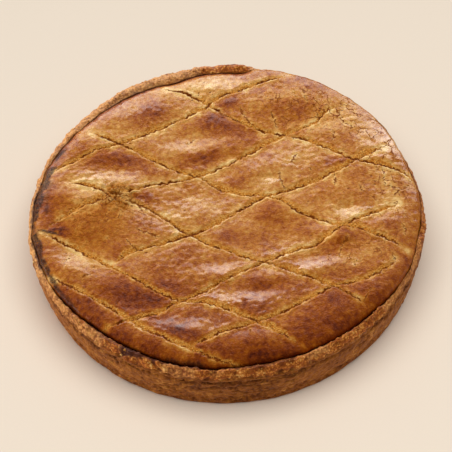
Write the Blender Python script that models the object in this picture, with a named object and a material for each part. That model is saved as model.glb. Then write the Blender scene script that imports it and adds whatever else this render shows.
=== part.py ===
# A gateau basque, uncut: a round crust whose rim stands round a scored, puffed and glazed lid.
# One closed solid, resting on its flat base, with the origin at the middle of the base and +Z up.
# +X is the cake's right and -Y its front. Shapes are worked out in millimetres, and angles in degrees
# counter-clockwise from +X. MM turns them into metres where a vertex is placed.

import bisect
import math
from collections import namedtuple

import bmesh
import bpy
from mathutils import Vector, noise
from mathutils.geometry import delaunay_2d_cdt

MM = 0.001

# Driving sizes
RIM_TOP = 34.0  # height of the rim's crown
SHOULDER_HEIGHT = 29.4  # height at which the crust is widest
LID_TOP = 36.4  # height of the lid near the rim, before it puffs
SAG = 2.4  # how far the middle of the lid has sunk
SAG_REACH = 48.0
LID_ROLL = 13.0  # width of the rounded edge that turns the lid down to the crust
PUFF = 1.4  # rise of the lid between two scores
PUFF_REACH = 6.0
SCORE_DEPTH = 2.0
SCORE_HALF_WIDTH = 1.9
SCORE_TAPER = 9.0  # length over which a score narrows to its end

# Radius of the crust at its shoulder, at angles round the cake
SHOULDER_RADIUS = (
    (0, 110.6), (10, 109.2), (20, 108.8), (35, 110.9), (47, 112.4), (58, 112.2), (68, 111.0), (80, 111.0),
    (90, 112.5), (105, 111.7), (125, 111.3), (145, 110.3), (155, 109.8), (180, 109.9), (196, 110.5),
    (215, 110.3), (250, 111.4), (298, 111.9), (320, 111.3), (336, 110.3), (350, 110.3),
)

# Width of the rim, from the edge of the lid out to the shoulder
RIM_WIDTH = (
    (0, 2.5), (12, 2.2), (18, 3.2), (78, 3.2), (84, 7.6), (97, 7.8), (105, 10.3), (112, 8.6),
    (138, 7.5), (160, 4.2), (172, 2.6), (182, 1.7), (203, 1.7), (215, 3.0), (228, 5.3), (245, 5.1),
    (262, 4.6), (280, 6.2), (297, 5.8), (315, 4.6), (328, 1.8), (338, 1.7), (347, 3.1),
)

# How far the rim stands clear of the lid: 1 where a gap parts them, 0 where the lid laps over the rim
RIM_STANDING = (
    (0, 1.0), (11, 1.0), (17, 0.0), (79, 0.0), (82, 1.0), (168, 1.0), (184, 0.5), (204, 0.5),
    (216, 1.0), (320, 1.0), (332, 0.2), (339, 0.3), (346, 1.0),
)

# Rows of the crust from the edge of the lid out to the shoulder: share of the rim's width, height
# where the rim stands, and height where the lid laps over it
RimRow = namedtuple("RimRow", "share standing lapped")
RIM_ROWS = (
    RimRow(0.00, 31.4, 34.0),  # edge of the lid
    RimRow(0.10, 29.8, 33.7),  # bottom of the gap
    RimRow(0.22, 33.2, 33.2),  # inner lip
    RimRow(0.42, RIM_TOP, 32.4),  # crown
    RimRow(0.75, 32.2, 31.0),
    RimRow(1.00, SHOULDER_HEIGHT, SHOULDER_HEIGHT),
)

# Rows of the wall below the shoulder: distance in from the shoulder's radius, and height
WALL_ROWS = (
    (0.1, 27.0),
    (1.3, 24.6),  # crease where the lid's dough was pressed on to the crust's
    (0.4, 22.6),
    (1.3, 14.0),
    (2.6, 6.0),
    (3.8, 1.1),
    (4.8, 0.0),  # edge of the flat base
)

# The rim's torn end stands up in a dry flake
TORN_END_ANGLE = 85.5
TORN_END_SPREAD = 3.5
TORN_END_RISE = 1.5

# Unevenness of the crust: distance and size of the lumps
CRUST_LUMPS = 0.45
CRUST_LUMP_SIZE = 9.0
LID_LUMPS = 0.35
LID_LUMP_SIZE = 11.0

# Knife scores: direction, distance from the middle of the cake, and how far the cut strays to the side
# at places along it, of which the first and the last are its ends
Score = namedtuple("Score", "angle offset sway")
SCORES = (
    Score(26.8, 70.7, ((-73, -0.5), (-42, 1.7), (-31, -0.9), (-5, -1.8), (25, -1.0), (37, 2.6), (46, 0.9),
                       (81, -1.2))),
    Score(24.0, 31.2, ((-96, -1.1), (-73, 4.1), (-63, 3.8), (-31, 1.4), (-9, -3.7), (9, -4.7), (53, 0.1),
                       (70, 0.1), (85, 5.0), (94, 3.7))),
    Score(25.4, -6.9, ((-74, 0.1), (-58, 1.5), (-33, -1.6), (-14, -2.2), (19, 2.3), (49, -1.8), (86, 0.8),
                       (98, 0.3))),
    Score(25.3, -45.8, ((-98, 2.8), (-67, -2.2), (-58, -2.4), (-5, 0.7), (16, 0.0), (30, -2.4), (45, 0.8),
                        (58, 2.2), (85, 0.0))),
    Score(23.8, -78.3, ((-58, 0.3), (-35, 0.6), (-19, -1.4), (-3, -1.5), (30, 1.0), (39, -1.5),
                        (57, -1.7), (67, 2.5))),
    Score(-29.1, 62.2, ((-73, 1.5), (-53, 2.2), (-36, -1.7), (-11, -4.0), (16, 0.2), (52, -0.3), (77, 2.6),
                        (89, -1.6))),
    Score(-28.0, 13.7, ((-95, 2.5), (-68, 0.9), (-41, -2.3), (-18, -0.9), (-12, -3.5), (3, -2.2),
                        (18, 2.7), (25, 2.9), (40, -0.8), (61, -1.0), (70, 1.5), (93, 1.6), (104, -0.7))),
    Score(-30.8, -24.5, ((-87, -1.8), (-67, 1.7), (-60, -0.7), (-46, 2.9), (-29, 1.7), (-14, -1.7),
                         (6, -3.2), (70, 1.8), (100, -0.1))),
    Score(-30.2, -65.1, ((-81, 2.3), (-42, -1.0), (1, -4.3), (10, -4.1), (22, 0.8), (53, 2.5), (79, 0.5))),
    Score(-32.2, -91.2, ((-58, 1.8), (-35, 1.5), (2, -2.6), (21, -2.6), (50, 0.3), (62, 4.5))),
)

# The crossing that burst open as the cake rose, and its crumbs
BURST = (-60.0, 10.0)
BURST_REACH = 10.0
BURST_LUMPS = 1.6
BURST_LUMP_SIZE = 4.0

# Places where the lid swelled or sank on its own: middle, reach and rise
Swell = namedtuple("Swell", "x y reach rise")
SWELLS = (
    Swell(59.0, -25.0, 7.0, 2.4),  # pinched fold
    Swell(*BURST, 9.0, 1.2),
    Swell(-66.0, 36.0, 12.0, -1.3),
    Swell(-12.0, 46.0, 15.0, -1.2),
    Swell(20.0, -14.0, 13.0, 0.9),
    Swell(-40.0, -40.0, 14.0, 0.8),
    Swell(-4.0, -88.0, 12.0, 1.0),
)

# Fineness of the mesh
CRUST_SEGMENTS = 180
LID_RING_INSETS = (0.9, 2.6, 5.4)  # rings of points that carry the lid's rounded edge
SCORE_STEP = 4.3
FILL_STEP = 4.5
FILL_GAP = 3.0  # closest that a filling point comes to the rings
FILL_SHARE = 0.65  # closest that it comes to a score, as a share of the step
BURST_STEP = 2.3
WELD = 0.05

CRUST_COLOUR = (0.39, 0.16, 0.045, 1.0)
CRUST_ROUGHNESS = 0.42
SHARP_ANGLE = 50


def curve_through(stations, place):
    """Value at a place, on a smooth curve through stations of (place, value)."""
    places = [station[0] for station in stations]
    right = min(max(bisect.bisect_right(places, place), 1), len(stations) - 1)
    (a, value_a), (b, value_b) = stations[right - 1], stations[right]
    before, after = stations[max(right - 2, 0)], stations[min(right + 1, len(stations) - 1)]
    slope_a = (value_b - before[1]) / (b - before[0]) * (b - a)
    slope_b = (after[1] - value_a) / (after[0] - a) * (b - a)
    s = min(max((place - a) / (b - a), 0.0), 1.0)
    ease = s * s * (3 - 2 * s)
    return value_a * (1 - ease) + value_b * ease + s * (1 - s) * (slope_a * (1 - s) - slope_b * s)


def round_the_cake(stations, angle):
    """The same where the stations go round the cake and the first follows the last."""
    last = (stations[-1][0] - 360, stations[-1][1])
    again = tuple((place + 360, value) for place, value in stations[:2])
    return curve_through((last,) + stations + again, angle % 360)


def angle_of(x, y):
    return math.degrees(math.atan2(y, x))


def lumps(x, y, z, size):
    """Soft unevenness from -1 to 1, the same at the same place each time."""
    return noise.noise(Vector((x, y, z)) / size)


def rim_height(row, angle):
    standing = min(max(round_the_cake(RIM_STANDING, angle), 0.0), 1.0)
    return row.lapped + (row.standing - row.lapped) * standing


def torn_end(angle):
    """1 at the rim's torn end, falling to 0 on both sides."""
    away = (angle - TORN_END_ANGLE + 180) % 360 - 180
    return math.exp(-((away / TORN_END_SPREAD) ** 2))


def shoulder_radius(angle):
    return round_the_cake(SHOULDER_RADIUS, angle)


def seam_radius(angle):
    """Radius of the lid's edge."""
    return shoulder_radius(angle) - round_the_cake(RIM_WIDTH, angle)


def crust_rows(angle):
    """Radius and height of each row of the crust at an angle, from the lid's edge to the base."""
    shoulder, seam = shoulder_radius(angle), seam_radius(angle)
    rows = []
    for row in RIM_ROWS:
        rise = TORN_END_RISE * torn_end(angle) * row.share
        rows.append((seam + (shoulder - seam) * row.share, rim_height(row, angle) + rise))
    rows += [(shoulder - inset, height) for inset, height in WALL_ROWS]
    return rows


def crust_point(row, angle):
    """A point of the crust, a little uneven in radius and, on the rim, in height."""
    radius, height = crust_rows(angle)[row]
    x, y = math.cos(math.radians(angle)), math.sin(math.radians(angle))
    radius += CRUST_LUMPS * lumps(x * radius, y * radius, height, CRUST_LUMP_SIZE)
    if 1 < row < len(RIM_ROWS):
        height += CRUST_LUMPS * lumps(x * radius, y * radius, -height, CRUST_LUMP_SIZE)
    return Vector((x * radius, y * radius, height))


def score_point(score, along, side):
    """Point beside a score, at a distance along it and to one side of it."""
    across = score.offset + curve_through(score.sway, along) + side
    c, s = math.cos(math.radians(score.angle)), math.sin(math.radians(score.angle))
    return Vector((along * c - across * s, along * s + across * c))


def score_fade(score, along):
    """1 along most of a score, falling to 0 at its ends, where the knife came out."""
    to_end = min(along - score.sway[0][0], score.sway[-1][0] - along)
    return min(max(to_end / SCORE_TAPER, 0.0), 1.0)


def beside_score(score, x, y):
    """Distance from a point to a score, and how far along the score that is."""
    c, s = math.cos(math.radians(score.angle)), math.sin(math.radians(score.angle))
    along, across = x * c + y * s, y * c - x * s
    nearest = min(max(along, score.sway[0][0]), score.sway[-1][0])
    away = math.hypot(across - score.offset - curve_through(score.sway, nearest), along - nearest)
    return away, nearest


def score_distance(score, x, y):
    return beside_score(score, x, y)[0]


def score_cut(score, x, y):
    """Share of the full depth to which a score cuts the lid at a point."""
    away, along = beside_score(score, x, y)
    fade = score_fade(score, along)
    return fade * max(0.0, 1 - away / (SCORE_HALF_WIDTH * max(fade, 0.1)))


def in_burst(x, y):
    """1 in the middle of the burst crossing, falling to 0 round it."""
    away = math.hypot(x - BURST[0], y - BURST[1]) / BURST_REACH
    return math.exp(-away * away)


def lid_height(x, y):
    """Height of the lid: a rounded edge, a sunken middle, puffs between scores, and the scores' cuts."""
    angle = angle_of(x, y)
    inset = max(seam_radius(angle) - math.hypot(x, y), 0.0)
    roll = math.sqrt(1 - (1 - min(inset / LID_ROLL, 1.0)) ** 2)
    edge = rim_height(RIM_ROWS[0], angle)
    top = LID_TOP - SAG * math.exp(-(x * x + y * y) / SAG_REACH**2)
    for swell in SWELLS:
        away = math.hypot(x - swell.x, y - swell.y) / swell.reach
        top += swell.rise * math.exp(-away * away)
    gap = min(score_distance(score, x, y) for score in SCORES)
    top += PUFF * (1 - math.exp(-gap / PUFF_REACH)) + LID_LUMPS * lumps(x, y, 0, LID_LUMP_SIZE)
    top += BURST_LUMPS * in_burst(x, y) * lumps(x, y, 0, BURST_LUMP_SIZE)
    cut = SCORE_DEPTH * max(score_cut(score, x, y) for score in SCORES)
    return edge + (top - cut - edge) * roll


def ring_points(inset):
    """Points on a ring that follows the lid's edge, further in by the inset."""
    points = []
    for i in range(CRUST_SEGMENTS):
        angle = 360 * i / CRUST_SEGMENTS
        outward = Vector((math.cos(math.radians(angle)), math.sin(math.radians(angle))))
        points.append(outward * (seam_radius(angle) - inset))
    return points


def score_points(score, side):
    """Points along one line of a score: its bottom, or a lip that closes on the bottom at its ends."""
    start, end = score.sway[0][0], score.sway[-1][0]
    count = max(int((end - start) / SCORE_STEP), 2)
    points = []
    for i in range(count + 1):
        along = start + (end - start) * i / count
        point = score_point(score, along, side * SCORE_HALF_WIDTH * score_fade(score, along))
        if seam_radius(angle_of(*point)) - point.length > LID_RING_INSETS[0] + 1:
            points.append(point)
    return points


def fill_points(middle, reach, step):
    """Evenly spaced points between the scores, in rows that are half a step out of line."""
    points = []
    row_height = step * math.sqrt(3) / 2
    rows = int(reach / row_height)
    for row in range(-rows, rows + 1):
        y = middle[1] + row * row_height
        for column in range(-rows, rows + 1):
            x = middle[0] + (column + row % 2 / 2) * step
            inset = seam_radius(angle_of(x, y)) - math.hypot(x, y)
            clear = min(score_distance(score, x, y) for score in SCORES)
            near = math.hypot(x - middle[0], y - middle[1]) < reach
            if near and inset > LID_RING_INSETS[-1] + FILL_GAP and clear > FILL_SHARE * step:
                points.append(Vector((x, y)))
    return points


def add_lid(mesh):
    """The lid as a net of triangles whose edges run along the scores. Returns its outer edges."""
    points = ring_points(0)
    outline = [list(range(CRUST_SEGMENTS))]
    for inset in LID_RING_INSETS:
        points += ring_points(inset)
    lines = []
    for score in SCORES:
        for side in (-1, 0, 1):
            first = len(points)
            points += score_points(score, side)
            lines += [(i, i + 1) for i in range(first, len(points) - 1)]
    points += fill_points(BURST, BURST_REACH, BURST_STEP)
    coarse = fill_points((0, 0), max(radius for _, radius in SHOULDER_RADIUS), FILL_STEP)
    points += [point for point in coarse if math.dist(point, BURST) > BURST_REACH + BURST_STEP]
    flat, _, triangles, *_ = delaunay_2d_cdt(points, lines, outline, 1, WELD)
    vertices = [mesh.verts.new(Vector((p.x, p.y, lid_height(p.x, p.y))) * MM) for p in flat]
    for triangle in triangles:
        mesh.faces.new([vertices[i] for i in triangle])
    return [edge for edge in mesh.edges if edge.is_boundary]


def add_crust(mesh, edges):
    """The rim and the wall, drawn out from the lid's edge one row at a time, and the base."""
    rows = len(RIM_ROWS) + len(WALL_ROWS)
    for row in range(1, rows):
        drawn = bmesh.ops.extrude_edge_only(mesh, edges=edges)["geom"]
        edges = [item for item in drawn if isinstance(item, bmesh.types.BMEdge) and item.is_boundary]
        for vertex in {vertex for edge in edges for vertex in edge.verts}:
            vertex.co = crust_point(row, angle_of(vertex.co.x, vertex.co.y)) * MM
    bmesh.ops.contextual_create(mesh, geom=edges)


def crust_material():
    material = bpy.data.materials.new("baked_crust")
    material.use_nodes = True
    shader = material.node_tree.nodes["Principled BSDF"]
    shader.inputs["Base Color"].default_value = CRUST_COLOUR
    shader.inputs["Roughness"].default_value = CRUST_ROUGHNESS
    shader.inputs["Metallic"].default_value = 0.0
    return material


def build_cake():
    mesh = bmesh.new()
    edges = add_lid(mesh)
    add_crust(mesh, edges)
    bmesh.ops.triangulate(mesh, faces=mesh.faces)
    bmesh.ops.recalc_face_normals(mesh, faces=mesh.faces)
    data = bpy.data.meshes.new("cake")
    mesh.to_mesh(data)
    mesh.free()
    data.shade_smooth()
    data.set_sharp_from_angle(angle=math.radians(SHARP_ANGLE))
    data.materials.append(crust_material())
    bpy.context.scene.collection.objects.link(bpy.data.objects.new("cake", data))


for old in list(bpy.data.objects):
    bpy.data.objects.remove(old)
build_cake()
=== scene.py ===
import math
import random

import bpy
import numpy as np
from mathutils import Matrix, Vector, noise


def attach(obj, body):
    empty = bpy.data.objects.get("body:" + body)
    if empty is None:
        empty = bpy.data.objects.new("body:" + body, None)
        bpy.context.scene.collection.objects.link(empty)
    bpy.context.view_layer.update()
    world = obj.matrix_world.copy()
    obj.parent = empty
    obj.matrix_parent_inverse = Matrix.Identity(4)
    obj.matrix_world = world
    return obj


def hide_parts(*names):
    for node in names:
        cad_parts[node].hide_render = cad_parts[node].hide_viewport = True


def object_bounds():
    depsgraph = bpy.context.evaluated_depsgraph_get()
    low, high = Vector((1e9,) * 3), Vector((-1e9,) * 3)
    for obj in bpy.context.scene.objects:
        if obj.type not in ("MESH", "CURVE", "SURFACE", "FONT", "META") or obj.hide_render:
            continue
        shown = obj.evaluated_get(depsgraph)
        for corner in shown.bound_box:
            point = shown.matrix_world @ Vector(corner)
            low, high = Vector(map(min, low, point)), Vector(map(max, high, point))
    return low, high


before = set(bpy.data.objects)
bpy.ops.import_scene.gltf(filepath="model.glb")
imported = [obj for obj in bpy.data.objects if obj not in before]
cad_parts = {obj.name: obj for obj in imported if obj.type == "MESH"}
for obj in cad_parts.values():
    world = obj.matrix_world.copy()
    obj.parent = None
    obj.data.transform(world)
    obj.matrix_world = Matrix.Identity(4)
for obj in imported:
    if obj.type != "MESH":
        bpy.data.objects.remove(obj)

# A gateau basque on a pale floor: a crumbly crust, a glazed lid scored into diamonds, and loose crumbs.
# Sizes are in millimetres and angles in degrees, counter-clockwise from the cake's right (+X).

mm = 0.001
farAway = 99.0  # no place on the lid is so far from the nearest score or crack
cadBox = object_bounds()


def toLight(level):  # a screen's level, 0 to 255, as light
    level /= 255
    return level / 12.92 if level < 0.04045 else ((level + 0.055) / 1.055) ** 2.4


def paint(red, green, blue):
    return [toLight(red), toLight(green), toLight(blue), 1.0]


# Shape of the cake

def curveThrough(places, values, at):  # a smooth curve, whose values may be numbers or rows of numbers
    places, values, at = np.array(places, float), np.array(values, float), np.asarray(at, float)
    right = np.clip(np.searchsorted(places, at, side="right"), 1, len(places) - 1)
    left = right - 1
    before, after = np.maximum(left - 1, 0), np.minimum(right + 1, len(places) - 1)
    gap = places[right] - places[left]
    tall = gap.shape + (1,) * (values.ndim - 1)  # one share for each row of numbers
    slopeIn = (values[right] - values[before]) * (gap / (places[right] - places[before])).reshape(tall)
    slopeOut = (values[after] - values[left]) * (gap / (places[after] - places[left])).reshape(tall)
    s = np.clip((at - places[left]) / gap, 0, 1).reshape(tall)
    ease = s * s * (3 - 2 * s)
    bend = s * (1 - s) * (slopeIn * (1 - s) - slopeOut * s)
    return values[left] * (1 - ease) + values[right] * ease + bend


cake = {
    "shoulderRadius": [  # angle, and how far out the crust is widest there
        (0, 110.4), (10, 109.0), (20, 108.3), (35, 109.4), (47, 109.3), (58, 109.9), (68, 109.6),
        (78, 110.6), (84, 111.8), (90, 112.6), (105, 112.1), (112, 112.3), (119, 112.3), (127, 111.4),
        (136, 110.3), (145, 110.0), (155, 109.8), (180, 110.2), (192, 110.9), (215, 110.4), (250, 111.6),
        (280, 111.6), (298, 111.1), (310, 110.6), (322, 110.5), (334, 110.5), (344, 111.2), (352, 111.5),
    ],
    "rimWidth": [  # angle, and the distance from the lid's edge out to the shoulder
        (0, 1.9), (12, 2.1), (20, 1.4), (35, 1.1), (50, 1.0), (66, 1.1), (75, 2.4), (84, 8.5), (97, 9.3),
        (105, 11.6), (112, 10.3), (119, 10.0), (127, 8.7), (138, 7.2), (160, 4.1), (168, 4.0), (175, 3.0),
        (182, 2.9), (188, 2.3), (194, 3.1), (205, 2.8), (215, 3.3), (228, 5.3), (245, 5.3), (262, 4.8),
        (280, 6.0), (297, 5.0), (315, 3.9), (328, 1.8), (338, 2.0), (345, 3.5), (352, 3.0),
    ],
    "rimStanding": [  # angle, and 1 where a gap parts rim and lid, 0 where the lid laps over the rim
        (0, 0.08), (11, 0.08), (17, 0.0), (79, 0.0), (82, 1.0), (115, 0.95), (132, 0.6), (155, 0.45),
        (163, 0.3), (205, 0.2), (216, 0.8), (225, 1.0), (312, 1.0), (328, 0.3), (346, 0.2),
    ],
    "rimKnobs": [  # angle, and how strong the rim's relief is
        (0, 0.8), (75, 0.8), (87, 0.5), (115, 0.6), (160, 0.6), (185, 0.8), (215, 1.0), (325, 1.0),
    ],
    "meanRadius": 110,
    "seamStray": [(0.5, 6.0, 6.0), (0.25, 2.2, 2.2)],  # bends in the lid's edge: depth, length and layer
    "patchStray": [(1.2, 5.0, 3), (0.7, 1.8, 3)],  # how ragged the places below are: depth, size and layer
    "patchSide": (-0.7, 0.4),  # how far in from its sides and ends such a place fades in
    "patchEnd": (-1.5, 2.0),
    "burnt": [  # from angle, to angle, inner radius, outer radius, how dark
        (153, 159, 101.8, 104.2, 0.6), (161, 166, 101.8, 105.4, 1.0), (165, 171, 101.2, 106.4, 1.0),
        (170, 177.5, 102.2, 107.8, 1.0), (177, 183, 104.6, 108.2, 1.0), (183, 187, 106.0, 108.8, 1.0),
        (187, 191, 104.6, 109.0, 1.0), (191, 200, 105.0, 108.4, 1.0), (200, 213, 104.8, 107.2, 0.6),
        (166, 176, 99.5, 102.4, 0.3), (174, 181, 98.6, 100.6, 0.35), (214, 232, 105.0, 107.0, 0.45),
        (230, 236, 106.5, 108.6, 0.6), (237, 241.5, 106.6, 109.8, 0.95), (242, 248, 107.2, 109.0, 0.6),
        (117.4, 119.8, 103.0, 106.0, 1.0), (112, 118, 104.6, 106.0, 0.5), (251, 262, 106.0, 108.0, 0.5),
    ],
    "paleAndLitRim": [  # from angle, to angle, inner radius, outer radius, how much paler the rim is: paler dry crumb, and on the rim's inner side at the back also painted light
        (14, 80, 104.0, 114.0, 1.0), (96, 168, 103.0, 115.0, 0.9), (166, 205, 106.6, 114.0, 1.0),
        (203, 232, 107.6, 112.0, 0.6), (250, 260, 108.4, 112.6, 0.5), (264, 268, 109.0, 111.4, 0.3),
        (291, 298, 106.6, 110.4, 0.5), (318, 345, 107.0, 112.0, 0.3),
    ],
    "toastedAndShaded": [  # from angle, to angle, inner radius, outer radius, how much browner the rim is: toasted crust, and on the inner half of the front rim also painted shade
        (79, 93, 110.4, 116.0, 1.0), (92, 104, 111.0, 116.0, 0.45), (216, 238, 104.0, 107.6, 0.35),
        (238, 262, 104.0, 109.0, 1.0), (260, 276, 104.0, 108.4, 0.9), (274, 288, 104.0, 109.0, 0.8),
        (286, 300, 104.0, 107.0, 0.3), (303, 330, 104.0, 107.5, 0.4),
    ],
}


def roundTheCake(stations, angle):
    places, values = zip(*stations)
    places = (places[-1] - 360,) + places + (places[0] + 360, places[1] + 360)
    values = (values[-1],) + values + (values[0], values[1])
    return curveThrough(places, values, np.mod(angle, 360))


def smoothStep(low, high, value):
    s = np.clip((value - low) / (high - low), 0, 1)
    return s * s * (3 - 2 * s)


def hump(distance, reach):  # 1 at no distance, falling softly to 0 past the reach
    return np.exp(-((distance / reach) ** 2))


def drift(kind, y):  # a share that comes in from one y to another
    share, start, end = kind
    return share * smoothStep(start, end, y)


def lumps(x, y, z, size):  # soft unevenness, about -0.7 to 0.7
    points = np.stack(np.broadcast_arrays(x, y, z), -1) / size
    heights = [noise.noise(Vector(point)) for point in points.reshape(-1, 3)]
    return np.array(heights).reshape(points.shape[:-1])


def uneven(kind, x, y):  # kind holds a depth, a size, and the layer of the noise that it is cut from
    depth, size, layer = kind
    return depth * lumps(x, y, layer, size)


def blisters(kind, x, y):  # round tops with narrow creases between them
    depth, size, layer = kind
    return depth * (np.abs(lumps(x, y, layer, size)) * 2 - 0.45)


def grains(x, y, z, size):  # a crumb at each point of a scattered net: 1 on top of it, 0 between crumbs
    points = np.stack(np.broadcast_arrays(x, y, z), -1) / size
    away = np.array([noise.voronoi(Vector(point))[0][0] for point in points])
    return 1 - np.clip(away * 1.25, 0, 1) ** 2


def shards(x, y, size):  # broken plates: the gaps between them, and how high each one stands
    gaps, levels = np.zeros(x.shape), np.zeros(x.shape)
    for i, point in enumerate(zip(x / size, y / size)):
        away, middles = noise.voronoi(Vector((*point, 0)))
        gaps[i], levels[i] = away[1] - away[0], noise.noise(middles[0] * 3.1)  # one level for each plate
    return smoothStep(0.24, 0.04, gaps), levels


def shoulderRadius(angle):
    return roundTheCake(cake["shoulderRadius"], angle)


def seamRadius(angle):
    turns = np.radians(np.arange(0, 360.5, 0.5))
    x, y = cake["meanRadius"] * np.cos(turns), cake["meanRadius"] * np.sin(turns)
    stray = sum(uneven(kind, x, y) for kind in cake["seamStray"])
    stray = np.interp(np.mod(angle, 360), np.degrees(turns), stray)
    return shoulderRadius(angle) - roundTheCake(cake["rimWidth"], angle) + stray


def rimStanding(angle):
    return np.clip(roundTheCake(cake["rimStanding"], angle), 0, 1)


def ringPatches(patches, x, y, raggedness=1.0):  # ragged places along the rim
    angle, radius = np.degrees(np.arctan2(y, x)) % 360, np.hypot(x, y)
    ragged = raggedness * sum(uneven(kind, x, y) for kind in cake["patchStray"])
    share = np.zeros(x.shape)
    for start, end, inner, outer, strength in patches:
        across = np.minimum(radius - inner, outer - radius) + ragged
        along = np.minimum(angle - start, end - angle) * math.radians(inner) + ragged
        here = smoothStep(*cake["patchSide"], across) * smoothStep(*cake["patchEnd"], along)
        share = np.maximum(share, strength * here)
    return share


# Lid

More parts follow.
